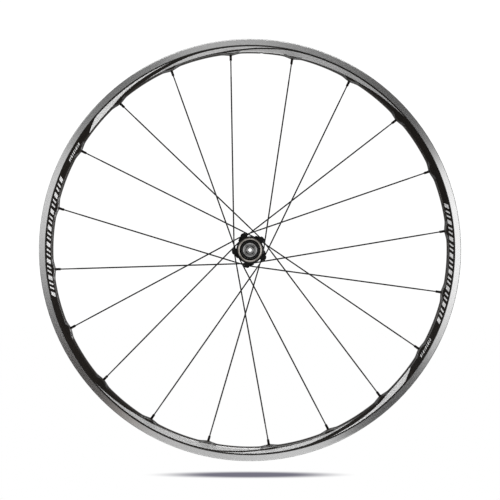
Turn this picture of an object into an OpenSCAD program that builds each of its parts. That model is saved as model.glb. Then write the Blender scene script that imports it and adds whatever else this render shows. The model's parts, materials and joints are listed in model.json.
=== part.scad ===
// Rear road bicycle wheel: a rim-brake clincher wheel with straight-pull spokes and a freehub.
// Every module is drawn in the wheel's own frame: the axle lies along Z, the drive side is at +Z.
// place() then stands the wheel up, so that the drive side faces -Y and +Z is up.

/* [Rim] */
// Bead seat diameter of the tyre size
bead_seat_d = 622; // [540:1:640]
// Width across the brake tracks
rim_w = 20.8; // [19:0.1:26]
// Width between the bead hooks
hook_gap = 15; // [13:0.5:17]
// Radial depth of the rim, measured without the nipple bosses
rim_depth = 21.5; // [20:0.5:30]
// Height of the brake track
track_h = 9.4; // [8:0.1:10]
// Thickness of the laminate on the rim's lower part
skin_t = 0.5; // [0.3:0.05:0.8]
// Height of the boss at each nipple
boss_h = 2.2; // [1:0.1:3]
// Diameter of the valve hole
valve_d = 6.4; // [6.2:0.1:6.6]

/* [Spokes] */
// Number of spokes, half on each side, in lobes of two
spoke_n = 20; // [20:20:20]
// Angle of the first spoke nipple above the horizontal
first_nipple = 5.6; // [0:0.1:17]
// Diameter of a spoke at its two round ends
spoke_d = 2.0; // [1.8:0.1:2.2]
// Width of the bladed middle of a spoke
blade_w = 2.2; // [1.6:0.05:2.25]
// Thickness of the bladed middle of a spoke
blade_t = 1.0; // [0.9:0.05:1.4]

/* [Hub] */
// Distance between the two lock nut faces
over_locknut = 130; // [126:1:135]
// Length of the bare axle end outside each lock nut
stub_len = 5.5; // [4:0.5:6]
// Diameter of the axle ends that drop into the frame
stub_d = 10; // [9:0.5:10]
// Diameter of the hole through the axle
skewer_hole_d = 5.5; // [5:0.1:6]
// Height of the drive flange from the wheel's middle plane
drive_flange_z = 17.5; // [15:0.5:19]
// Distance of the left flange from the wheel's middle plane
left_flange_z = 37.5; // [34:0.5:39]
// Distance from the axle line to a drive side spoke
drive_foot_r = 23.9; // [22:0.1:25]
// Distance from the axle line to a left side spoke
left_foot_r = 20.3; // [19:0.1:22]

/* [Freehub] */
// Radius over the cassette splines
spline_r = 17.4; // [17:0.1:17.6]
// Radius of the lockring thread in the freehub's mouth
lockring_r = 15.3; // [15:0.1:15.5]
// Number of teeth of the internal ratchet
ratchet_n = 24; // [24:12:24]

/* [Hidden] */
$fn = 96;
eps = 0.01;
full = 360;

// Rim section, as radii from the axle line and half widths from the middle plane
bead_r = bead_seat_d / 2;
rim_r = bead_r + 6;
nose_inner_r = rim_r - rim_depth;
track_r = rim_r - track_h;
half_w = rim_w / 2;
hook_half = hook_gap / 2;
nose_r = 6.5;
nose_c = nose_inner_r + nose_r;
skin_half_w = half_w - 0.2;
skin_gap = 0.2;
rim_wall = 0.95;
track_wall = 1.6;
bed_r = bead_r - 2.4;
bed_half = 3.5;
bed_wall = 1.2;
shelf_r = bed_r + 0.8;
shelf_half = 5;
tape_t = 0.5;

// Nipple bosses: a bulge of the nose, cut to an arc that is seen from the side
boss_tip_r = nose_inner_r - boss_h;
boss_arc_r = 23.6;
boss_nose_c = nose_c - boss_h - 0.3;

// Lacing: nipples alternate between the sides, and each side alternates its spokes' lean
side_n = spoke_n / 2;
lobe_n = side_n / 2;
nipple_step = full / spoke_n;
cross_z = 1.9;
seat_r = nose_inner_r + 2.5;
seat_pocket = 1.8;
DRIVE = [first_nipple + nipple_step, drive_flange_z, drive_foot_r, -1];
LEFT = [first_nipple, -left_flange_z, left_foot_r, 1];

// Nipples and their washers, along the spoke from its seat in the rim.
// A nipple's neck is [radius, width across its four flats, length].
nipple_r = 2.0;
nipple_bore_r = spoke_d / 2 + 0.02;
nipple_out = 11.9;
nipple_neck = [2.15, 3.7, 6];
nipple_shank = 6;
nipple_head_r = 2.9;
nipple_head_h = 3.5;
washer_t = 0.6;
washer_r = 3.4;
shank_hole_r = 2.2;
hole_reach = 8;
access_r = 4;
valve_at = first_nipple + 4.5 * nipple_step;

// Bare round wire at the hub end and at the rim end of a spoke, on each side of its blade
round_hub_end = 22;
round_rim_end = 36;

// Spoke heads in the lobes
head_r = 2;
head_len = 1.7;
head_pocket_r = 2.2;
lobe_hole_r = 1.15;
pocket_reach = 12;

// Hub shell and flanges
drive_lobe = [27.3, 8.8, 8, 4.45];
left_lobe = [23.7, 7.9, 8, 3.6];
lobe_root_r = 12;
lobe_corner = [1.4, 2.2];
drive_disc_r = 20.7;
left_disc_r = 17;
barrel_r = 11.5;
barrel_bore_r = 9.2;
hub_left_z = -50;
hub_right_z = 21.5;
mouth_r = 15.4;
spigot_r = 10;
spigot_z = 16.5;

// Bearings: one row of balls a side between a cup and a cone, ball centres at these heights
ball_r = 2.38;
race_r = ball_r + 0.05;
pitch_r = 10.3;
balls_n = 10;
drive_ball_z = 51;
left_ball_z = -45;
cup_r = 13.5;
cup_len = 6;
cup_mouth_r = 12.9;
seal_r = 9.35;

// Axle, cones, washers and lock nuts
axle_r = 6.75;
half_old = over_locknut / 2;
nut_r = 11.1;
nut_len = 4.3;
nut_flange_t = 2.3;
nut_rim = 0.4;
nut_hex_af = 17;
lock_washer_t = 1.2;
cone_end = 8.5;
serration_n = 24;
serration = [7.6, 0.7, 0.35];

// Freehub
freehub_z0 = 22.6;
freehub_z1 = 60.3;
freehub_bore_r = 14.1;
spline_root_r = 16.4;
spline_z0 = 25;
spline_n = 9;
spline_at = 70;
base_r = 18.4;
thread_z0 = 55.5;
carrier_r = 13.5;
carrier_z1 = 57;
bolt_z0 = 12;
bolt_seat_z = 26;
bolt_head_h = 4;
bolt_r = 8.2;
bolt_head_r = 9.2;
bolt_bore_r = 7.2;
small_ball_r = 1.19;
small_pitch_r = 13.9;
small_balls_n = 18;
small_rows_z = [26.3, 43];
pawl_z0 = 29.5;
pawl_len = 6;
pawl_n = 3;
pawl_pivot = [12, -3.2];
pawl_pivot_r = 1.2;
pawl_pin_r = 0.8;
pawl_gap = 0.3;
ratchet_root_r = 15.4;
ratchet_tip_r = freehub_bore_r - 0.15;
ratchet_ramp = 0.945;
ratchet_turn = 13.9;
spring_ring_r = 13.52;
spring_wire_r = 0.22;
spring_groove_r = 13.2;
spring_z = 36.4;
spring_turn = 335;
spring_start = 60;

spoke_ids = [for (i = [1:side_n]) i];

// ---------- Frame and spoke geometry ----------

// Stand the wheel up: its +Z, the drive side, turns to face -Y
module place() { rotate([90, 0, 0]) children(); }

// A side is [first nipple angle, flange height, foot radius, lean of its first spoke].
// The sum gives a spoke's nipple angle, and its lean is +1 or -1 by turns.
function nipple_angle(side, i) = side[0] + 2 * nipple_step * i;
function lean(side, i) = side[3] * (i % 2 == 0 ? 1 : -1);
function on_circle(r, a, z) = [r * cos(a), r * sin(a), z];

// Where a spoke line meets the rim's seat, and its foot, the point closest to the axle line
function rim_point(side, i) = on_circle(seat_r, nipple_angle(side, i), 0);
function foot_angle(side, i) =
    nipple_angle(side, i) + lean(side, i) * (asin(side[2] / seat_r) - 90);
function foot_point(side, i) =
    on_circle(side[2], foot_angle(side, i), side[1] + lean(side, i) * cross_z);
function spoke_span(side, i) = norm(rim_point(side, i) - foot_point(side, i));

// Put children on a spoke line: their Z runs from the foot to the rim
module along_spoke(side, i) {
    v = rim_point(side, i) - foot_point(side, i);
    translate(foot_point(side, i))
        rotate([0, acos(v[2] / norm(v)), atan2(v[1], v[0])]) children();
}

module on_all_spokes() {
    for (side = [DRIVE, LEFT], i = [0:side_n - 1])
        along_spoke(side, i) translate([0, 0, spoke_span(side, i)]) children();
}

module rod(r, z0, z1) { translate([0, 0, z0]) cylinder(r = r, h = z1 - z0); }

module ring(outer_r, inner_r, z0, z1) {
    difference() {
        rod(outer_r, z0, z1);
        rod(inner_r, z0 - 1, z1 + 1);
    }
}

// ---------- Rim ----------

// Round nose and straight flanks below the brake track, drawn as radius and half width.
// The flanks start just inside the nose circle, at the point where they would touch it.
module body_section(inset) {
    r = nose_r - inset;
    inside_r = r - 0.03;
    top = [track_r, skin_half_w - inset];
    reach = norm([top[0] - nose_c, top[1]]);
    a = atan2(top[1], top[0] - nose_c) + acos(inside_r / reach);
    touch = [nose_c + inside_r * cos(a), inside_r * sin(a)];
    translate([nose_c, 0]) circle(r = r);
    polygon([[touch[0], -touch[1]], [top[0], -top[1]], top, touch]);
}

module boss_ring(inset) {
    intersection() {
        rotate_extrude($fn = 180) translate([boss_nose_c, 0]) circle(r = nose_r - inset);
        for (i = [0:spoke_n - 1])
            rotate([0, 0, first_nipple + i * nipple_step])
                translate([boss_tip_r + boss_arc_r, 0, -half_w])
                    cylinder(r = boss_arc_r - inset, h = rim_w);
    }
}

module body_solid(inset) {
    rotate_extrude($fn = 180) body_section(inset);
    boss_ring(inset);
}

// Brake tracks, bead hooks and tyre bed
module track_section() {
    difference() {
        both_halves([[track_r - 1, half_w - 2], [track_r, half_w - 2], [track_r, half_w],
                     [rim_r - 0.9, half_w], [rim_r - 0.3, half_w - 0.3], [rim_r, half_w - 1]]);
        both_halves([[bed_r, 0], [bed_r, bed_half], [shelf_r, shelf_half], [bead_r, 7.2],
                     [bead_r, half_w - track_wall], [bead_r + 3.2, half_w - track_wall],
                     [bead_r + 4, hook_half], [rim_r + 1, hook_half], [rim_r + 1, 0]]);
    }
}

// A closed outline from the points of its upper half
module both_halves(points) {
    n = len(points);
    polygon(concat(points, [for (i = [1:n]) [points[n - i][0], -points[n - i][1]]]));
}

// Closed hollow between the nose and the tyre bed
module cavity_section() {
    r = nose_r - skin_t - rim_wall;
    side = skin_half_w - skin_t - rim_wall;
    translate([nose_c, 0]) circle(r = r);
    both_halves([[nose_c, r], [track_r, side], [bead_r - bed_wall, side],
                 [bead_r - bed_wall, 7.4], [shelf_r - bed_wall, shelf_half + 0.2],
                 [bed_r - bed_wall, bed_half + 0.1]]);
}

module valve_hole(r) {
    rotate([0, 0, valve_at]) translate([nose_inner_r - 3, 0, 0])
        rotate([0, 90, 0]) cylinder(r = r, h = rim_depth);
}

module rim() {
    color("#9a9b9d") difference() {
        union() {
            body_solid(skin_t);
            rotate_extrude($fn = 180) track_section();
        }
        rotate_extrude($fn = 180) cavity_section();
        on_all_spokes() {
            rod(shank_hole_r, -hole_reach, 4);
            rod(washer_r + 0.2, -seat_pocket, 6);
            rod(access_r, 5, rim_depth);
        }
        valve_hole(valve_d / 2);
    }
}

module rim_laminate() {
    color("#17171a") difference() {
        intersection() {
            body_solid(0);
            ring(track_r - skin_gap, nose_inner_r - boss_h - 5, -half_w, half_w);
        }
        body_solid(skin_t);
        on_all_spokes() rod(shank_hole_r + 0.15, -hole_reach, 4);
        valve_hole(valve_d / 2 + 0.2);
    }
}

module rim_tape() {
    color("#3a3a3c") difference() {
        rotate_extrude($fn = 180) both_halves([
            [bed_r, bed_half], [shelf_r, shelf_half], [shelf_r + tape_t, shelf_half],
            [bed_r + tape_t, bed_half]]);
        valve_hole(valve_d / 2 + 0.2);
    }
}

// ---------- Spokes, nipples and washers ----------

// Round head and ends, with a flattened blade between them that lies in the wheel's plane
module spoke(side, i, seat) {
    span = spoke_span(side, i);
    blade_start = round_hub_end;
    blade_end = span - round_rim_end;
    color("#1c1c1e") along_spoke(side, i) {
        rod(head_r, -seat - head_len, -seat);
        rod(spoke_d / 2, -seat - eps, blade_start);
        translate([0, 0, blade_start - eps]) linear_extrude(blade_end - blade_start + 2 * eps)
            intersection() {
                circle(r = blade_w / 2);
                square([blade_t, blade_w + 1], center = true);
            }
        rod(spoke_d / 2, blade_end, span);
    }
}

// A nipple's square neck points to the hub and its round head sits inside the rim
module nipple() {
    difference() {
        union() {
            translate([0, 0, -nipple_out]) linear_extrude(nipple_neck[2]) intersection() {
                circle(r = nipple_neck[0]);
                square(nipple_neck[1], center = true);
            }
            rod(nipple_r, -nipple_shank, eps - seat_pocket + washer_t);
            rod(nipple_head_r, washer_t - seat_pocket, washer_t - seat_pocket + nipple_head_h);
        }
        rod(nipple_bore_r, -nipple_out - 1, nipple_head_h + 1);
    }
}

module nipples(side) {
    color("#161618") for (i = [0:side_n - 1])
        along_spoke(side, i) translate([0, 0, spoke_span(side, i)]) nipple();
}

module nipple_washers() {
    color("silver") on_all_spokes()
        ring(washer_r, shank_hole_r, -seat_pocket, washer_t - seat_pocket);
}

// ---------- Hub shell ----------

// A block that reaches out from the barrel, with its two outer corners cut off
module lobe_outline(r, half) {
    corner_r = r - lobe_corner[0];
    tip = half - lobe_corner[1];
    polygon([[lobe_root_r, -half], [corner_r, -half], [r, -tip], [r, tip], [corner_r, half],
             [lobe_root_r, half]]);
}

// A lobe is [outer radius, width, thickness, seat of the spoke head behind its foot]
module lobes(side, lobe) {
    for (k = [0:lobe_n - 1])
        rotate([0, 0, lobe_angle(side) + k * full / lobe_n])
            translate([0, 0, side[1] - lobe[2] / 2]) linear_extrude(lobe[2])
                lobe_outline(lobe[0], lobe[1] / 2);
}

// The lobe that the side's first spoke starts from stands a quarter turn behind its nipple
function lobe_angle(side) = nipple_angle(side, 0) - side[3] * 5 * nipple_step;

module head_pockets(side, lobe) {
    for (i = [0:side_n - 1]) along_spoke(side, i) {
        rod(lobe_hole_r, -pocket_reach, pocket_reach);
        rod(head_pocket_r, -pocket_reach - 2, -lobe[3]);
    }
}

module hub_shell() {
    zd = drive_flange_z;
    zl = -left_flange_z;
    color("#1d1d1f") difference() {
        union() {
            rotate_extrude() polygon([
                [7, hub_left_z], [15, hub_left_z], [mouth_r, hub_left_z + 0.4], [mouth_r, zl - 3.4],
                [left_disc_r - 0.5, zl - 3], [left_disc_r, zl - 2.5], [left_disc_r, zl + 2.5],
                [left_disc_r - 0.5, zl + 3], [14.6, zl + 3.6], [13, zl + 6], [barrel_r, zl + 11],
                [barrel_r, zd - 15], [12.6, zd - 9], [15.4, zd - 5], [drive_disc_r - 0.5, zd - 2.6],
                [drive_disc_r, zd - 2.1], [drive_disc_r, zd + 2.1], [drive_disc_r - 0.5, zd + 2.6],
                [16, hub_right_z - 0.5], [16, hub_right_z], [7, hub_right_z]]);
            lobes(DRIVE, drive_lobe);
            lobes(LEFT, left_lobe);
        }
        rod(barrel_bore_r, hub_left_z - 1, bolt_z0);
        rod(cup_r, hub_left_z - 1, left_ball_z + 4);
        rod(bolt_r, bolt_z0 - eps, hub_right_z + 1);
        rod(spigot_r, spigot_z, hub_right_z + 1);
        head_pockets(DRIVE, drive_lobe);
        head_pockets(LEFT, left_lobe);
    }
}

// ---------- Bearings, drawn around their ball centres with the cone at +Z ----------

// Hollow of a cup: a bore, the race and a wider mouth
module cup_void() {
    rotate_extrude() {
        polygon([[0, -8], [9.5, -8], [9.5, -0.8], [11.9, -0.8], [11.9, 0.9],
                 [cup_mouth_r, 0.9], [cup_mouth_r, 12], [0, 12]]);
        translate([pitch_r, 0]) circle(r = race_r);
    }
}

module cone() {
    color("#b4b5b8") rotate_extrude() difference() {
        polygon([[axle_r, -1.2], [8, -1.2], [8, 0.5], [10, 2.6], [10, 3.6], [9, 4],
                 [9, cone_end], [axle_r, cone_end]]);
        translate([pitch_r, 0]) circle(r = race_r);
    }
}

module balls() {
    color("#d0d2d6") for (k = [0:balls_n - 1])
        rotate([0, 0, k * full / balls_n]) translate([pitch_r, 0, 0]) sphere(r = ball_r);
}

module ball_cage() {
    color("#b08d3c") difference() {
        ring(12.4, 10.6, 1.3, 3.1);
        for (k = [0:balls_n - 1])
            rotate([0, 0, k * full / balls_n]) translate([pitch_r, 0, 0])
                sphere(r = race_r + 0.02);
    }
}

module seal() { color("#202022") ring(cup_mouth_r, seal_r, 4.4, 5.8); }

module at_drive_bearing() { translate([0, 0, drive_ball_z]) children(); }
module at_left_bearing() { translate([0, 0, left_ball_z]) mirror([0, 0, 1]) children(); }

module left_cup() {
    color("#8e9094") at_left_bearing() difference() {
        rod(cup_r, -4, cup_len);
        cup_void();
    }
}

// ---------- Axle set ----------

module axle() {
    color("#c4c5c8") difference() {
        union() {
            rod(axle_r, 0.3 - half_old, half_old - 0.3);
            rod(stub_d / 2, -half_old - stub_len, half_old + stub_len);
        }
        rod(skewer_hole_d / 2, -half_old - stub_len - 1, half_old + stub_len + 1);
    }
}

// A hexagon for the spanner and a round flange with radial teeth that bite the frame.
// The gap between two teeth is [inner radius, width, depth].
module lock_nut() {
    face = half_old;
    color("#c9cacd") difference() {
        union() {
            rod(nut_r, face - nut_flange_t, face - nut_rim);
            rod(nut_r - nut_rim, face - 1, face);
            translate([0, 0, face - nut_len]) cylinder(r = nut_hex_af / sqrt(3), h = nut_len, $fn = 6);
        }
        rod(axle_r, face - nut_len - 1, face + 1);
        for (k = [0:serration_n - 1]) rotate([0, 0, k * full / serration_n])
            translate([serration[0], -serration[1] / 2, face - serration[2]])
                cube([4, serration[1], 1]);
    }
}

module drive_lock_washer() {
    color("#a9aaad") ring(10.4, axle_r, half_old - nut_len - lock_washer_t, half_old - nut_len);
}

module left_spacer() {
    color("#2a2a2c") ring(9.6, axle_r, nut_len - half_old, left_ball_z - cone_end);
}

// ---------- Freehub ----------

module small_ball_rows(r) {
    for (z = small_rows_z, k = [0:small_balls_n - 1])
        rotate([0, 0, k * full / small_balls_n]) translate([small_pitch_r, 0, z]) sphere(r = r);
}

module small_race() {
    for (z = small_rows_z)
        rotate_extrude() translate([small_pitch_r, z]) circle(r = small_ball_r + 0.05);
}

// Outline of one pawl and, with a gap, of its pocket in the carrier
module pawl_outline(gap) {
    translate(pawl_pivot) circle(r = pawl_pivot_r + gap * 0.25);
    polygon([[12.95 + gap, -3.2], [13.2 + gap, 3.4 + gap], [12.2 - gap, 3.4 + gap],
             [11.2 - gap, -2.2], [11.4, -3.2]]);
}

module pawl(k) {
    color("#85868a") rotate([0, 0, k * full / pawl_n]) {
        translate([0, 0, pawl_z0]) linear_extrude(pawl_len) pawl_outline(0);
        translate([pawl_pivot[0], pawl_pivot[1], pawl_z0]) cylinder(r = pawl_pin_r, h = pawl_len + 1.4);
    }
}

module freehub_carrier() {
    color("#77797d") difference() {
        union() {
            rod(spigot_r, spigot_z, hub_right_z + 1);
            rod(carrier_r, hub_right_z, carrier_z1);
        }
        rod(bolt_r, spigot_z - 1, bolt_seat_z + eps);
        rod(9.5, bolt_seat_z, drive_ball_z - 7);
        at_drive_bearing() cup_void();
        small_race();
        ring(carrier_r + 1, spring_groove_r, spring_z - 0.4, spring_z + 0.4);
        for (k = [0:pawl_n - 1]) rotate([0, 0, k * full / pawl_n]) {
            translate([0, 0, pawl_z0 - 0.2]) linear_extrude(pawl_len + 0.4) {
                pawl_outline(pawl_gap);
                translate([12.4, -3.2]) square([3, 6.9]);
            }
            translate([pawl_pivot[0], pawl_pivot[1], pawl_z0])
                cylinder(r = pawl_pin_r + 0.06, h = pawl_len + 1.6);
        }
    }
}

module freehub_bolt() {
    color("#5f6064") difference() {
        union() {
            rod(bolt_r, bolt_z0, bolt_seat_z + eps);
            rod(bolt_head_r, bolt_seat_z, bolt_seat_z + bolt_head_h);
        }
        rod(bolt_bore_r, bolt_z0 - 1, bolt_seat_z + bolt_head_h + 1);
    }
}

// Outline of the saw tooth gaps: a long ramp from a tip, then a steep face down to the next
function ratchet_points() = [for (k = [0:ratchet_n - 1], at = [0, ratchet_ramp])
    let (a = ratchet_turn + (k + at) * full / ratchet_n,
         r = at == 0 ? ratchet_tip_r : ratchet_root_r)
    [r * cos(a), r * sin(a)]];

// The first of the nine splines is half as wide as the others, so a cassette fits one way only
module freehub_body() {
    step = full / spline_n;
    rib = step / 2;
    color("#bfc0c3") difference() {
        union() {
            rod(base_r, freehub_z0, spline_z0);
            rod(spline_root_r, freehub_z0, freehub_z1);
            for (k = [0:spline_n - 1])
                rotate_extrude(angle = k == 0 ? rib / 2 : rib, start = step * k + spline_at)
                    translate([spline_root_r - 0.5, spline_z0 - 0.5])
                        square([spline_r - spline_root_r + 0.5, freehub_z1 - spline_z0]);
        }
        rod(freehub_bore_r, freehub_z0 - 1, freehub_z1 + 1);
        rod(lockring_r, thread_z0, freehub_z1 + 1);
        small_race();
        translate([0, 0, pawl_z0 - 0.5]) linear_extrude(pawl_len + 1) polygon(ratchet_points());
    }
}

module pawl_spring() {
    color("#9c9da1") rotate_extrude(angle = spring_turn, start = spring_start)
        translate([spring_ring_r, spring_z]) circle(r = spring_wire_r, $fn = 24);
}

// ---------- Nodes ----------

place() {
    rim();
    rim_laminate();
    rim_tape();
    for (i = spoke_ids) {
        spoke(DRIVE, i - 1, drive_lobe[3]);
        spoke(LEFT, i - 1, left_lobe[3]);
    }
    nipples(DRIVE);  // drive_nipples
    nipples(LEFT);  // left_nipples
    nipple_washers();
    hub_shell();
    freehub_carrier();
    freehub_bolt();
    freehub_body();
    color("#d0d2d6") small_ball_rows(small_ball_r);  // freehub_balls
    pawl(0);  // pawl_1
    pawl(1);  // pawl_2
    pawl(2);  // pawl_3
    pawl_spring();
    left_cup();
    at_drive_bearing() balls();  // drive_balls
    at_drive_bearing() ball_cage();  // drive_ball_cage
    at_left_bearing() balls();  // left_balls
    at_left_bearing() ball_cage();  // left_ball_cage
    at_drive_bearing() seal();  // drive_seal
    at_left_bearing() seal();  // left_seal
    axle();
    at_drive_bearing() cone();  // drive_cone
    at_left_bearing() cone();  // left_cone
    drive_lock_washer();
    left_spacer();
    lock_nut();  // drive_lock_nut
    mirror([0, 0, 1]) lock_nut();  // left_lock_nut
}
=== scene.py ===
"""Looks of the rear bicycle wheel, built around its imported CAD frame. Metres, in the row frame.

The wheel turns about Y and its drive side faces -Y, towards the camera. Angles on the wheel are in
degrees from +X towards +Z, as the camera sees them.
"""
import json
import math

import bmesh
import bpy
from mathutils import Matrix, Vector


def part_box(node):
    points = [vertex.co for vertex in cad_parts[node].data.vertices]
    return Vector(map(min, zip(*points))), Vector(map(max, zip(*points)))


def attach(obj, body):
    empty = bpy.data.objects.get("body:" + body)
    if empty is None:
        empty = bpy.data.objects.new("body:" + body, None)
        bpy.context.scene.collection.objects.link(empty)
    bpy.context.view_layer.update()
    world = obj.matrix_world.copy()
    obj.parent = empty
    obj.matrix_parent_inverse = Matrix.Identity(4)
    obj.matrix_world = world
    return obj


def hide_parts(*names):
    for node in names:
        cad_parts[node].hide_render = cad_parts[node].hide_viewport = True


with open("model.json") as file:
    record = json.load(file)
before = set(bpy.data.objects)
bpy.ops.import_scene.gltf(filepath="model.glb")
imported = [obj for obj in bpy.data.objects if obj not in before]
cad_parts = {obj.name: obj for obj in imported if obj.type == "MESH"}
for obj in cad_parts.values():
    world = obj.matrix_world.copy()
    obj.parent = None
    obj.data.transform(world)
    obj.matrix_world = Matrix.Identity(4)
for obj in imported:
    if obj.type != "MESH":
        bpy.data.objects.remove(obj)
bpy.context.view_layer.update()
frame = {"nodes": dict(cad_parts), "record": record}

NODES = frame["nodes"]
BODY_OF = {n: body for body, members in frame["record"]["behaviour"]["bodies"].items()
           for n in members}
MM = 0.001

# ---------- Sizes taken from the frame ----------

RIM_LOW, RIM_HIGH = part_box("rim")
TRACK_Y = RIM_HIGH.y
SKIN_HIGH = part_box("rim_laminate")[1]
SKIN_R = SKIN_HIGH.x
SKIN_Y = SKIN_HIGH.y
# From the laminate's edge at the brake track to its nose
NOSE_DEPTH = 11.9 * MM
# How much of a spoke's length counts as its end and as its head
END_LENGTH = 1.5 * MM
HEAD_LENGTH = 1.0 * MM


def far_end(node):
    """Middle of the end of a spoke node that lies furthest from the axle line."""
    points = [v.co for v in NODES[node].data.vertices]
    reach = max(math.hypot(p.x, p.z) for p in points)
    tip = [p for p in points if math.hypot(p.x, p.z) > reach - END_LENGTH]
    return sum(tip, Vector()) / len(tip)


def near_end(node):
    """Middle of the head of a spoke node, at the other end."""
    points = [v.co for v in NODES[node].data.vertices]
    tip = far_end(node)
    length = max((p - tip).length for p in points)
    head = [p for p in points if (p - tip).length > length - HEAD_LENGTH]
    return sum(head, Vector()) / len(head)


SPOKES = sorted(n for n in NODES if "_spoke_" in n)
SPOKE_LINES = [(near_end(n), far_end(n)) for n in SPOKES]
NIPPLE_ANGLES = sorted(math.atan2(tip.z, tip.x) % math.tau for head, tip in SPOKE_LINES)
STEP = math.tau / len(SPOKES)
# The valve hole lies midway between two nipples
VALVE_ANGLE = NIPPLE_ANGLES[0] + 4.5 * STEP

# ---------- Node graphs ----------

FULL_TURN = 360.0
HALF_TURN = 180.0
GRAIN_DETAIL = 4.0


class NodeTools:
    """Short ways to add and link the nodes of one node tree, which starts empty."""

    def __init__(self, tree):
        self.tree = tree
        self.tree.nodes.clear()

    def add(self, kind, **settings):
        node = self.tree.nodes.new(kind)
        for key, value in settings.items():
            setattr(node, key, value)
        return node

    def put(self, socket, value):
        """Links another node's output to the socket, or sets the socket's own value."""
        if isinstance(value, bpy.types.NodeSocket):
            self.tree.links.new(value, socket)
        else:
            socket.default_value = value

    def math(self, operation, *values):
        node = self.add("ShaderNodeMath", operation=operation)
        for socket, value in zip(node.inputs, values):
            self.put(socket, value)
        return node.outputs[0]

    def product(self, *values):
        result = values[0]
        for value in values[1:]:
            result = self.math("MULTIPLY", result, value)
        return result

    def between(self, value, low, high, to_low=0.0, to_high=1.0, smooth=True):
        """Value mapped from low..high to to_low..to_high, and held there outside."""
        node = self.add("ShaderNodeMapRange")
        node.interpolation_type = "SMOOTHSTEP" if smooth else "LINEAR"
        for socket, v in zip(node.inputs, (value, low, high, to_low, to_high)):
            self.put(socket, v)
        return node.outputs[0]

    def separate(self, vector):
        node = self.add("ShaderNodeSeparateXYZ")
        self.put(node.inputs[0], vector)
        return node.outputs


class Graph(NodeTools):
    """A material's node tree, whose coords are positions in the row frame, in metres."""

    def __init__(self, name):
        self.material = bpy.data.materials.new(name)
        self.material.use_nodes = True
        super().__init__(self.material.node_tree)
        self.out = self.add("ShaderNodeOutputMaterial")
        self.shader = self.add("ShaderNodeBsdfPrincipled")
        self.put(self.out.inputs["Surface"], self.shader.outputs[0])
        self.coords = self.add("ShaderNodeTexCoord").outputs["Object"]

    def set(self, **values):
        """Values of the shader's sockets: underscores stand for spaces."""
        for key, value in values.items():
            self.put(self.shader.inputs[key.replace("_", " ")], value)

    def glow(self, colour, strength):
        """Turns the material into a plain light."""
        emission = self.add("ShaderNodeEmission")
        self.put(emission.inputs["Color"], colour)
        self.put(emission.inputs["Strength"], strength)
        self.put(self.out.inputs["Surface"], emission.outputs[0])
        self.tree.nodes.remove(self.shader)

    def mix(self, factor, a, b):
        node = self.add("ShaderNodeMix", data_type="RGBA")
        # Inputs 6 and 7 and output 2 are the ones that hold colours
        self.put(node.inputs[0], factor)
        self.put(node.inputs[6], a)
        self.put(node.inputs[7], b)
        return node.outputs[2]

    def noise(self, scale, detail, vector=None):
        node = self.add("ShaderNodeTexNoise")
        self.put(node.inputs["Vector"], self.coords if vector is None else vector)
        self.put(node.inputs["Scale"], scale)
        self.put(node.inputs["Detail"], detail)
        return node.outputs["Fac"]

    def bump(self, height, distance, strength):
        node = self.add("ShaderNodeBump")
        self.put(node.inputs["Height"], height)
        self.put(node.inputs["Distance"], distance)
        self.put(node.inputs["Strength"], strength)
        return node.outputs[0]

    def combine(self, x, y, z):
        node = self.add("ShaderNodeCombineXYZ")
        for socket, value in zip(node.inputs, (x, y, z)):
            self.put(socket, value)
        return node.outputs[0]

    def length(self, a, b):
        return self.math("SQRT", self.math("ADD", self.math("MULTIPLY", a, a),
                                           self.math("MULTIPLY", b, b)))

    def polar(self):
        """Radius from the axle line, angle in degrees from 0 to 360, and height along the axle."""
        x, y, z = self.separate(self.coords)
        turn = self.math("DEGREES", self.math("ARCTAN2", z, x))
        return self.length(x, z), self.math("FLOORED_MODULO", turn, FULL_TURN), y

    def curve(self, value, full, points):
        """A value that follows points of (value, result), for values from 0 to full."""
        node = self.add("ShaderNodeFloatCurve")
        self.put(node.inputs["Value"], self.math("DIVIDE", value, full))
        line = node.mapping.curves[0]
        for x, y in points[1:-1]:
            line.points.new(x / full, y)
        line.points[0].location = (points[0][0] / full, points[0][1])
        line.points[-1].location = (points[-1][0] / full, points[-1][1])
        node.mapping.update()
        return node.outputs[0]

    def groove(self, amount):
        """Highlights that spread across fine circular grooves about the axle."""
        tangent = self.add("ShaderNodeTangent", direction_type="RADIAL", axis="Y")
        self.set(Tangent=tangent.outputs[0], Anisotropic=amount, Anisotropic_Rotation=0.25)

    def turned_grain(self, around, across):
        """Noise drawn out along circles about the axle, as a lathe leaves it."""
        radius, angle, y = self.polar()
        return self.noise(1.0, GRAIN_DETAIL, self.combine(
            self.math("MULTIPLY", radius, across),
            self.math("MULTIPLY", y, across),
            self.math("MULTIPLY", self.math("SINE", self.math("RADIANS", angle)), around)))


def grey(value):
    return (value, value, value, 1)


# ---------- Materials ----------

# The brake track is the rim's skin that lies this close to the rim's full width
TRACK_SLACK = 0.15 * MM
# The dark line between track and laminate, partly the joint's dark edge and partly painted shade of
# a groove there, fades out between these heights over the laminate
SHADE_LINE_START = 0.4 * MM
SHADE_LINE_END = 1.1 * MM


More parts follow.
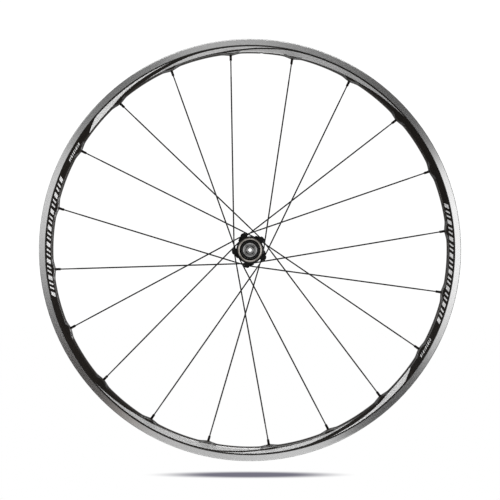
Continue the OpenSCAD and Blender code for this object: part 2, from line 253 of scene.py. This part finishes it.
def machined_rim():
    """Brake tracks turned in fine circles, and satin metal in the tyre channel. Along the
    laminate's edge the track carries a dark line, partly the joint's dark edge and partly painted
    shade of a groove that is not modelled.
    """
    g = Graph("machined_rim")
    radius, angle, y = g.polar()
    flank = g.math("GREATER_THAN", g.math("ABSOLUTE", y), TRACK_Y - TRACK_SLACK)
    grain = g.turned_grain(6.0, 2600.0)
    cloud = g.noise(14.0, 2.0)
    tone = g.math("ADD", g.between(grain, 0.3, 0.7, -0.05, 0.05),
                  g.between(cloud, 0.3, 0.7, -0.03, 0.03))
    track = g.mix(g.math("ADD", 0.5, tone), grey(0.54), grey(0.78))
    channel = g.mix(g.between(grain, 0.3, 0.7), grey(0.20), grey(0.28))
    # Dark line at the laminate's edge: the joint's dark edge, with painted shade standing in for a
    # groove that is not modelled
    line = g.between(radius, SKIN_R + SHADE_LINE_END, SKIN_R + SHADE_LINE_START)
    g.set(Base_Color=g.mix(flank, channel, g.mix(line, track, grey(0.10))),
          Metallic=1.0,
          Roughness=g.math("ADD", g.between(grain, 0.3, 0.7, 0.155, 0.17),
                           g.math("MULTIPLY", line, 0.35)))
    g.groove(1.0)
    return g.material


# Silver stripes of the laminate. Each is its top and bottom edge along half the rim, as points of
# angle in degrees and height from the nose (0) to the brake track (1). The rim carries them twice.
STRIPES = [
    ([(40, 0.91), (50, 0.87), (62, 0.86), (76, 0.84), (84, 0.66), (91, 0.44), (98, 0.20)],
     [(40, 0.90), (50, 0.60), (62, 0.30), (76, 0.20), (84, 0.16), (91, 0.15), (98, 0.17)]),
    ([(79, 0.90), (86, 0.89), (94, 0.87), (103, 0.82), (110, 0.66), (116, 0.46), (122, 0.28)],
     [(79, 0.91), (86, 0.76), (94, 0.50), (103, 0.36), (110, 0.31), (116, 0.28), (122, 0.26)]),
    ([(112, 0.91), (118, 0.90), (126, 0.89), (134, 0.88), (138, 0.88), (141, 0.66), (144, 0.24)],
     [(112, 0.90), (118, 0.78), (126, 0.62), (131, 0.44), (135, 0.26), (140, 0.22), (144, 0.22)]),
]
STRIPE_TONES = [0.60, 0.74, 1.0]
# Height over which the edge of a stripe or a bar fades
INK_SOFT = 0.035
# Rows of slanted bars along half the rim: first angle, last angle, and the step that the row's
# group of bars repeats at. Each bar of a group is its start and its width, all in degrees.
BAR_ROWS = [(160.0, 193.0, 4.72), (149.0, 153.0, 1.35)]
BAR_GROUPS = [[(0.0, 1.2), (2.0, 0.55), (3.3, 0.55)], [(0.0, 0.5), (0.75, 0.3)]]
# Heights between which the bars of each row stand
BAR_HEIGHTS = [(0.36, 0.84), (0.42, 0.72)]
# Degrees by which a bar leans over the laminate's full height
LEAN = 1.7
# Degrees over which a bar's sides fade, and how far the fade starts before it
BAR_SOFT = 0.07
BAR_LEAD = 0.01
BAR_TONE = 0.92
# Stretch of the fibres: slow along the rim, fine across it
FIBRE_ALONG = 1.1
FIBRE_ACROSS = 2400.0
LAMINATE_TONES = [(0.005, 0.004, 0.003, 1), (0.014, 0.010, 0.007, 1)]


def laminate():
    """Clear-coated black laminate with faint fibres, silver stripes and a row of plain bars."""
    g = Graph("gloss_laminate")
    radius, angle, y = g.polar()
    half = g.math("FLOORED_MODULO", angle, HALF_TURN)
    height = g.between(radius, SKIN_R - NOSE_DEPTH, SKIN_R, 0.0, 1.0, smooth=False)
    fibre = g.noise(1.0, 2.0, g.combine(g.math("MULTIPLY", half, FIBRE_ALONG),
                                        g.math("MULTIPLY", radius, FIBRE_ACROSS),
                                        g.math("MULTIPLY", y, FIBRE_ACROSS)))
    colour = g.mix(g.between(fibre, 0.35, 0.65), *LAMINATE_TONES)
    ink = 0.0
    for (top, bottom), tone in zip(STRIPES, STRIPE_TONES):
        above = g.math("SUBTRACT", height, g.curve(half, HALF_TURN, bottom))
        below = g.math("SUBTRACT", g.curve(half, HALF_TURN, top), height)
        inside = g.product(g.between(above, 0.0, INK_SOFT), g.between(below, 0.0, INK_SOFT))
        start = g.math("GREATER_THAN", half, top[0][0])
        end = g.math("LESS_THAN", half, top[-1][0])
        stripe = g.product(inside, start, end)
        silver = g.mix(g.between(fibre, 0.3, 0.7), grey(tone * 0.86), grey(tone))
        colour = g.mix(stripe, colour, silver)
        ink = g.math("MAXIMUM", ink, stripe)
    for (first, last, step), group, (low, high) in zip(BAR_ROWS, BAR_GROUPS, BAR_HEIGHTS):
        along = g.math("ADD", g.math("SUBTRACT", half, first), g.math("MULTIPLY", height, LEAN))
        along = g.math("FLOORED_MODULO", along, HALF_TURN)
        place = g.math("FLOORED_MODULO", along, step)
        bar = 0.0
        for start, width in group:
            end = start + width
            bar = g.math("MAXIMUM", bar, g.product(
                g.between(place, start - BAR_LEAD, start + BAR_SOFT),
                g.between(place, end, end - BAR_SOFT)))
        band = g.product(g.between(height, low, low + INK_SOFT),
                         g.between(height, high, high - INK_SOFT))
        mark = g.product(bar, band, g.math("LESS_THAN", along, last - first + LEAN))
        colour = g.mix(mark, colour, grey(BAR_TONE))
        ink = g.math("MAXIMUM", ink, mark)
    g.set(Base_Color=colour, Roughness=g.math("ADD", g.math("MULTIPLY", ink, 0.08), 0.24),
          Metallic=g.math("MULTIPLY", ink, 0.25), Specular_IOR_Level=0.15, Coat_Weight=1.0,
          Coat_Roughness=0.05, Coat_IOR=1.5)
    ripple = g.noise(160.0, 2.0)
    g.set(Coat_Normal=g.bump(ripple, 0.02 * MM, 0.5),
          Normal=g.bump(g.math("ADD", fibre, g.math("MULTIPLY", ink, 0.8)), 0.02 * MM, 0.5))
    return g.material


# Rings of a turned piece are given as far out as this, in mm
RINGS_END = 20
# Grooves too fine to see one by one
FINE = 0.002 * MM


def worn_metal(name, dark, light, rough, grain_around, grain_across, anisotropic=0.0,
               metallic=1.0, depth=0.02 * MM, rings=None):
    """Metal with turned grain and slow patches of tone, between a dark and a light colour.

    Rings are points of (radius in mm, share of the tone), for pieces turned to several finishes;
    their darker rings are also painted shade in recesses and between turned faces.
    """
    g = Graph(name)
    grain = g.turned_grain(grain_around, grain_across)
    patch = g.noise(90.0, 4.0)
    tone = g.math("ADD", g.math("MULTIPLY", g.between(grain, 0.3, 0.7), 0.6),
                  g.math("MULTIPLY", g.between(patch, 0.3, 0.7), 0.4))
    colour = g.mix(tone, dark, light)
    if rings:
        radius, angle, y = g.polar()
        # Painted shade: ring by ring the colour is darkened towards black, partly for the finish
        # and partly for the shade of recesses and gaps between turned faces
        share = g.curve(radius, RINGS_END * MM, [(r * MM, value) for r, value in rings])
        colour = g.mix(share, grey(0.0), colour)
    g.set(Base_Color=colour, Metallic=metallic,
          Roughness=g.math("ADD", g.math("MULTIPLY", g.between(patch, 0.3, 0.7), 0.1), rough),
          Normal=g.bump(grain, depth, 0.15))
    if anisotropic:
        g.groove(anisotropic)
    return g.material


def drawn_wire():
    """Blackened spoke wire: fine mottling and a dull sheen."""
    g = Graph("black_spoke")
    mottle = g.noise(900.0, 4.0)
    patch = g.noise(30.0, 2.0)
    g.set(Base_Color=g.mix(g.between(mottle, 0.35, 0.65), grey(0.012), grey(0.032)), Metallic=0.3,
          Specular_IOR_Level=0.35, Roughness=g.between(patch, 0.3, 0.7, 0.34, 0.46),
          Normal=g.bump(mottle, 0.01 * MM, 0.4))
    return g.material


def rubber():
    """Dull black rubber with fine pores."""
    g = Graph("rubber_seal")
    pores = g.noise(2500.0, 5.0)
    colour = g.mix(g.between(pores, 0.3, 0.7), (0.005, 0.0045, 0.004, 1), (0.012, 0.011, 0.010, 1))
    g.set(Base_Color=colour, Roughness=0.62, Specular_IOR_Level=0.15,
          Normal=g.bump(pores, 0.03 * MM, 0.6))
    return g.material


def tape():
    """Woven tape that covers the access holes."""
    g = Graph("rim_tape")
    radius, angle, y = g.polar()
    warp = g.math("SINE", g.math("MULTIPLY", angle, 50.0))
    weft = g.math("SINE", g.math("MULTIPLY", y, 9000.0))
    weave = g.math("MULTIPLY", warp, weft)
    g.set(Base_Color=g.mix(g.between(weave, -1.0, 1.0), grey(0.018), grey(0.05)), Roughness=0.75,
          Normal=g.bump(weave, 0.05 * MM, 0.6))
    return g.material


MATERIALS = {
    "machined_rim": machined_rim(),
    "gloss_laminate": laminate(),
    "rim_tape": tape(),
    "black_spoke": drawn_wire(),
    "black_alloy": worn_metal("black_alloy", (0.008, 0.007, 0.0065, 1), (0.017, 0.015, 0.014, 1),
                              0.30, 40.0, 1500.0, metallic=0.9),
    "black_anodised": worn_metal("black_anodised", grey(0.008), grey(0.018), 0.32, 20.0, 1800.0,
                                 metallic=0.85),
    # The freehub's inside, out to 15.3 mm, is painted near black as the shade of its threaded
    # recess; the other rings of these pieces are partly finish and partly painted shade
    "freehub_metal": worn_metal("freehub_metal", (0.60, 0.565, 0.52, 1), (0.74, 0.70, 0.65, 1),
                                0.17, 4.0, 900.0, anisotropic=0.9, depth=FINE,
                                rings=[(0, 0.02), (15.3, 0.02), (15.5, 0.5), (16.2, 0.95),
                                       (17.0, 1.0), (17.3, 0.5), (18.4, 0.3), (20, 0.3)]),
    "silver_alloy": worn_metal("silver_alloy", grey(0.50), grey(0.62), 0.18, 4.0, 900.0,
                               anisotropic=0.9, depth=FINE,
                               rings=[(0, 0.7), (2.7, 0.7), (2.9, 0.25), (3.7, 0.25),
                                      (4.2, 1.0), (4.9, 1.0), (5.2, 0.3), (5.8, 0.1),
                                      (6.7, 0.15), (20, 0.9)]),
    "nut_steel": worn_metal("nut_steel", grey(0.58), grey(0.74), 0.17, 4.0, 900.0,
                            anisotropic=0.9, depth=FINE,
                            rings=[(0, 0.25), (6.9, 0.25), (7.3, 0.6), (7.9, 0.5), (8.3, 0.2),
                                   (8.9, 0.35), (9.3, 0.9), (9.9, 0.85), (10.5, 0.2),
                                   (20, 0.15)]),
    "bearing_steel": worn_metal("bearing_steel", grey(0.60), grey(0.72), 0.12, 10.0, 2000.0),
    "dark_steel": worn_metal("dark_steel", grey(0.06), grey(0.12), 0.34, 10.0, 2000.0),
    "brass_cage": worn_metal("brass_cage", (0.42, 0.28, 0.09, 1), (0.62, 0.45, 0.18, 1),
                             0.30, 10.0, 1800.0),
    "rubber_seal": rubber(),
}
SLOT_OF = {s["node"]: s["material_slot"] for s in frame["record"]["subparts"]}


def paint(obj, slot):
    """Gives an object the material of this slot, and no other."""
    obj.data.materials.clear()
    obj.data.materials.append(MATERIALS[slot])


for node, obj in NODES.items():
    paint(obj, SLOT_OF[node])


# ---------- Laminate shell: a smooth skin that swells over each nipple ----------

NOSE_R = 6.5 * MM
SKIN_T = 0.5 * MM
# The swell over a nipple: its height, its half length around the rim, and the half widths where it
# starts to fall and where it ends
SWELL = 2.2 * MM
SWELL_REACH = math.radians(3.1)
SWELL_FULL_Y = 5.2 * MM
SWELL_END_Y = 8.4 * MM
# Steps of the mesh around the rim, round the nose and down a flank
AROUND = 720
ARC_STEPS = 18
FLANK_STEPS = 5
# Edges sharper than this, in degrees, stay crisp
SMOOTH_BELOW = 40
# Holes that the nipples and the valve go through. A nipple's hole is measured from its spoke's end,
# in towards the hub and out towards the tyre.
NIPPLE_HOLE_R = 2.4 * MM
NIPPLE_HOLE_IN = 12 * MM
NIPPLE_HOLE_OUT = 2 * MM
VALVE_HOLE_R = 3.4 * MM
VALVE_HOLE_DEPTH = 16 * MM


def smoothstep(t):
    t = min(max(t, 0.0), 1.0)
    return t * t * (3 - 2 * t)


def half_section(inset):
    """Points of (radius, y) from the track edge down one flank and round the nose to its middle."""
    nose_c = SKIN_R - NOSE_DEPTH + NOSE_R
    r = NOSE_R - inset
    top = Vector((SKIN_R - nose_c, SKIN_Y - inset))
    reach = top.length
    touch = math.atan2(top.y, top.x) + math.acos(r / reach)
    foot = Vector((r * math.cos(touch), r * math.sin(touch)))
    points = [top.lerp(foot, i / FLANK_STEPS) for i in range(FLANK_STEPS)]
    points += [Vector((r * math.cos(a), r * math.sin(a)))
               for a in (touch + (math.pi - touch) * i / ARC_STEPS for i in range(ARC_STEPS + 1))]
    return [(nose_c + p.x, p.y) for p in points]


def swell(angle, y):
    """How far the skin moves towards the axle at this angle and half width."""
    away = abs((angle - NIPPLE_ANGLES[0] + STEP / 2) % STEP - STEP / 2)
    if away >= SWELL_REACH:
        return 0.0
    along = 0.5 + 0.5 * math.cos(math.pi * away / SWELL_REACH)
    return SWELL * along * (1 - smoothstep((abs(y) - SWELL_FULL_Y) / (SWELL_END_Y - SWELL_FULL_Y)))


def laminate_shell():
    """A closed skin of even thickness all round the rim."""
    outer = half_section(0.0)
    inner = half_section(SKIN_T)
    loop = outer + [(r, -y) for r, y in outer[-2::-1]]
    loop += [(r, -y) for r, y in inner] + [(r, y) for r, y in inner[-2::-1]]
    bm = bmesh.new()
    rings = []
    for k in range(AROUND):
        a = math.tau * k / AROUND
        ring = []
        for r, y in loop:
            reach = r - swell(a, y)
            ring.append(bm.verts.new((reach * math.cos(a), y, reach * math.sin(a))))
        rings.append(ring)
    n = len(loop)
    for k in range(AROUND):
        one, two = rings[k], rings[(k + 1) % AROUND]
        for i in range(n):
            bm.faces.new((one[i], one[(i + 1) % n], two[(i + 1) % n], two[i]))
    bmesh.ops.recalc_face_normals(bm, faces=bm.faces)
    return to_object("laminate_shell", bm)


def to_object(name, bm):
    mesh = bpy.data.meshes.new(name)
    bm.to_mesh(mesh)
    bm.free()
    obj = bpy.data.objects.new(name, mesh)
    bpy.context.scene.collection.objects.link(obj)
    return obj


def add_drill(bm, start, end, radius, sides):
    """A cylinder between two points, to cut a hole with."""
    line = end - start
    turn = line.to_track_quat("Z", "Y").to_matrix().to_4x4()
    bmesh.ops.create_cone(bm, cap_ends=True, segments=sides, radius1=radius, radius2=radius,
                          depth=line.length,
                          matrix=Matrix.Translation((start + end) / 2) @ turn)


def smooth(obj, degrees):
    """Smooth shading, with edges sharper than so many degrees kept crisp."""
    for other in bpy.context.selected_objects:
        other.select_set(False)
    obj.select_set(True)
    bpy.context.view_layer.objects.active = obj
    bpy.ops.object.shade_smooth_by_angle(angle=math.radians(degrees))


def drill_holes(obj):
    """Cuts the holes for the nipples and the valve."""
    bm = bmesh.new()
    for head, tip in SPOKE_LINES:
        inward = (head - tip).normalized()
        add_drill(bm, tip + inward * NIPPLE_HOLE_IN, tip - inward * NIPPLE_HOLE_OUT,
                  NIPPLE_HOLE_R, 24)
    out = Vector((math.cos(VALVE_ANGLE), 0, math.sin(VALVE_ANGLE)))
    add_drill(bm, out * (SKIN_R - VALVE_HOLE_DEPTH), out * SKIN_R, VALVE_HOLE_R, 32)
    drills = to_object("drills", bm)
    cut = obj.modifiers.new("holes", "BOOLEAN")
    cut.operation = "DIFFERENCE"
    cut.solver = "EXACT"
    cut.object = drills
    bpy.context.view_layer.objects.active = obj
    bpy.ops.object.modifier_apply(modifier=cut.name)
    bpy.data.objects.remove(drills)


skin = laminate_shell()
drill_holes(skin)
smooth(skin, SMOOTH_BELOW)
skin.data.materials.append(MATERIALS["gloss_laminate"])
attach(skin, BODY_OF["rim_laminate"])
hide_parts("rim_laminate")

# ---------- Stage: floor, light and camera ----------

CAMERA_AWAY = 6.0
CAMERA_END = 50
VIEW_WIDTH = 0.752
SENSOR = 36.0

FLOOR_Z = RIM_LOW.z - 21 * MM
FLOOR_HALF = 12.0
# The painted shadow, a soft dark ellipse under the wheel: half its width and depth, and the shares
# of these where it starts to fade and where it ends
SHADOW_HALF_X = 132 * MM
SHADOW_HALF_Y = 88 * MM
SHADOW_FADE = (0.45, 1.25)
SHADOW_COLOUR = (0.18, 0.174, 0.22, 1)


def stage_floor():
    """White paper that only the camera sees, so that it neither lights nor shades the wheel. A
    shadow is painted on it as a soft dark ellipse under the wheel.
    """
    bm = bmesh.new()
    bmesh.ops.create_grid(bm, x_segments=1, y_segments=1, size=FLOOR_HALF,
                          matrix=Matrix.Translation((0, 0, FLOOR_Z)))
    floor = to_object("floor", bm)
    g = Graph("floor_paper_painted_shadow")
    x, y, z = g.separate(g.coords)
    reach = g.length(g.math("DIVIDE", x, SHADOW_HALF_X), g.math("DIVIDE", y, SHADOW_HALF_Y))
    # Painted shadow: inside the ellipse the floor's glow fades to a dark tint
    g.glow(g.mix(g.between(reach, *SHADOW_FADE), SHADOW_COLOUR, grey(1.0)), 1.0)
    floor.data.materials.append(g.material)
    floor.visible_diffuse = floor.visible_glossy = floor.visible_shadow = False


# Strength of the light ring along its turn, as points of (angle in degrees, share of the full)
RING_TURN = [(0, 0.94), (10, 0.95), (19, 0.91), (26, 0.41), (33, 0.12), (42, 0.06), (55, 0.08),
             (75, 0.18), (95, 0.34), (103, 0.34), (118, 0.15), (130, 0.13), (140, 0.16),
             (150, 0.33), (160, 0.55), (170, 0.51), (180, 0.38), (190, 0.19), (203, 0.07),
             (220, 0.04), (229, 0.15), (238, 0.38), (250, 0.46), (262, 0.45), (278, 0.55),
             (289, 0.55), (296, 0.30), (303, 0.09), (312, 0.04), (321, 0.06), (330, 0.37),
             (340, 0.65), (350, 0.85), (360, 0.94)]
RING_Y = -2.4
RING_INNER = 0.02
RING_OUTER = 1.3
RING_SIDES = 72
RING_STRENGTH = 1.7
# A warm part of the ring: where its tint starts, is full, starts to fall, and ends
WARM_TURN = (195.0, 215.0, 228.0, 245.0)
WARM_COLOUR = (1.0, 0.89, 0.83, 1)


def light_ring():
    """A wide, soft ring light in front of the wheel, whose strength changes along its turn."""
    bm = bmesh.new()
    turns = [math.tau * k / RING_SIDES for k in range(RING_SIDES)]
    inner, outer = [[bm.verts.new((r * math.cos(a), 0, r * math.sin(a))) for a in turns]
                    for r in (RING_INNER, RING_OUTER)]
    for k in range(RING_SIDES):
        n = (k + 1) % RING_SIDES
        bm.faces.new((inner[k], inner[n], outer[n], outer[k]))
    ring = to_object("light_ring", bm)
    ring.location = (0, RING_Y, 0)
    g = Graph("ring_light")
    radius, angle, y = g.polar()
    start, full, fall, end = WARM_TURN
    warm = g.product(g.between(angle, start, full), g.between(angle, end, fall))
    g.glow(g.mix(warm, grey(1.0), WARM_COLOUR),
           g.math("MULTIPLY", g.curve(angle, FULL_TURN, RING_TURN), RING_STRENGTH))
    ring.data.materials.append(g.material)
    ring.visible_camera = ring.visible_shadow = False


SEEN_WHITE = 1.05
# Strength of each of the world's panels. The right one is strong only near the wheel's plane, so
# that few views see it mirrored in the brake track.
RIGHT_PANEL = 0.5
RIGHT_EDGE_PANEL = 9.5
LEFT_PANEL = 1.5
LOW_PANEL = 2.1
TOP_PANEL = 4.2


def studio_world():
    """White for the camera. As a light it is dim in front of the wheel and brighter at its sides
    and behind it, with panels to the right, to the left, below and above."""
    world = bpy.data.worlds.new("studio")
    bpy.context.scene.world = world
    world.use_nodes = True
    t = NodeTools(world.node_tree)
    # Direction that the light comes from, with -Y in front of the wheel. A panel is a wedge seen
    # from the front, told by its rise or its lean, that fades in from the middle.
    x, y, z = t.separate(t.add("ShaderNodeTexCoord").outputs["Generated"])
    rise = t.math("DIVIDE", z, x)
    lean = t.math("ABSOLUTE", t.math("DIVIDE", x, z))

    room = t.math("ADD", t.between(y, -0.62, -0.42, 0.15, 0.45),
                  t.between(y, -0.42, 0.30, 0.0, 0.17))
    upright = t.between(lean, 0.45, 0.75, 1.0, 0.0)
    right = t.product(t.between(rise, 0.40, 0.55, 1.0, 0.0), t.between(rise, -0.55, -0.35),
                      t.between(x, 0.0, 0.1),
                      t.math("ADD", RIGHT_PANEL, t.between(y, -0.31, -0.23, 0.0, RIGHT_EDGE_PANEL)))
    left = t.product(t.between(rise, 0.0, 0.15, 1.0, 0.0), t.between(rise, -1.1, -0.8),
                     t.between(x, -0.1, 0.0, LEFT_PANEL, 0.0))
    low = t.product(upright, t.between(z, -0.1, 0.0, LOW_PANEL, 0.0))
    top = t.product(upright, t.between(z, 0.0, 0.1, 0.0, TOP_PANEL),
                    t.between(y, -0.30, -0.10, 1.0, 0.0))
    around = t.math("MULTIPLY", t.math("ADD", t.math("ADD", right, left), low),
                    t.between(y, 0.0, 0.30, 1.0, 0.0))
    # The panels leave the front free, because the laminate's flank mirrors it and looks dark
    panels = t.math("MULTIPLY", t.between(y, -0.60, -0.52), t.math("ADD", around, top))

    light = t.add("ShaderNodeBackground")
    t.put(light.inputs["Strength"], t.math("ADD", room, panels))
    seen = t.add("ShaderNodeBackground")
    t.put(seen.inputs["Color"], grey(1.0))
    t.put(seen.inputs["Strength"], SEEN_WHITE)
    mix = t.add("ShaderNodeMixShader")
    t.put(mix.inputs[0], t.add("ShaderNodeLightPath").outputs["Is Camera Ray"])
    t.put(mix.inputs[1], light.outputs[0])
    t.put(mix.inputs[2], seen.outputs[0])
    t.put(t.add("ShaderNodeOutputWorld").inputs["Surface"], mix.outputs[0])


def camera():
    """A long lens on the axle line, square to the wheel's drive side."""
    data = bpy.data.cameras.new("camera")
    data.sensor_width = SENSOR
    data.lens = SENSOR * CAMERA_AWAY / VIEW_WIDTH
    data.clip_end = CAMERA_END
    obj = bpy.data.objects.new("camera", data)
    obj.location = (0, -CAMERA_AWAY, 0)
    obj.rotation_euler = (math.pi / 2, 0, 0)
    bpy.context.scene.collection.objects.link(obj)
    bpy.context.scene.camera = obj


stage_floor()
studio_world()
light_ring()
camera()
bpy.context.scene.view_settings.view_transform = "Standard"
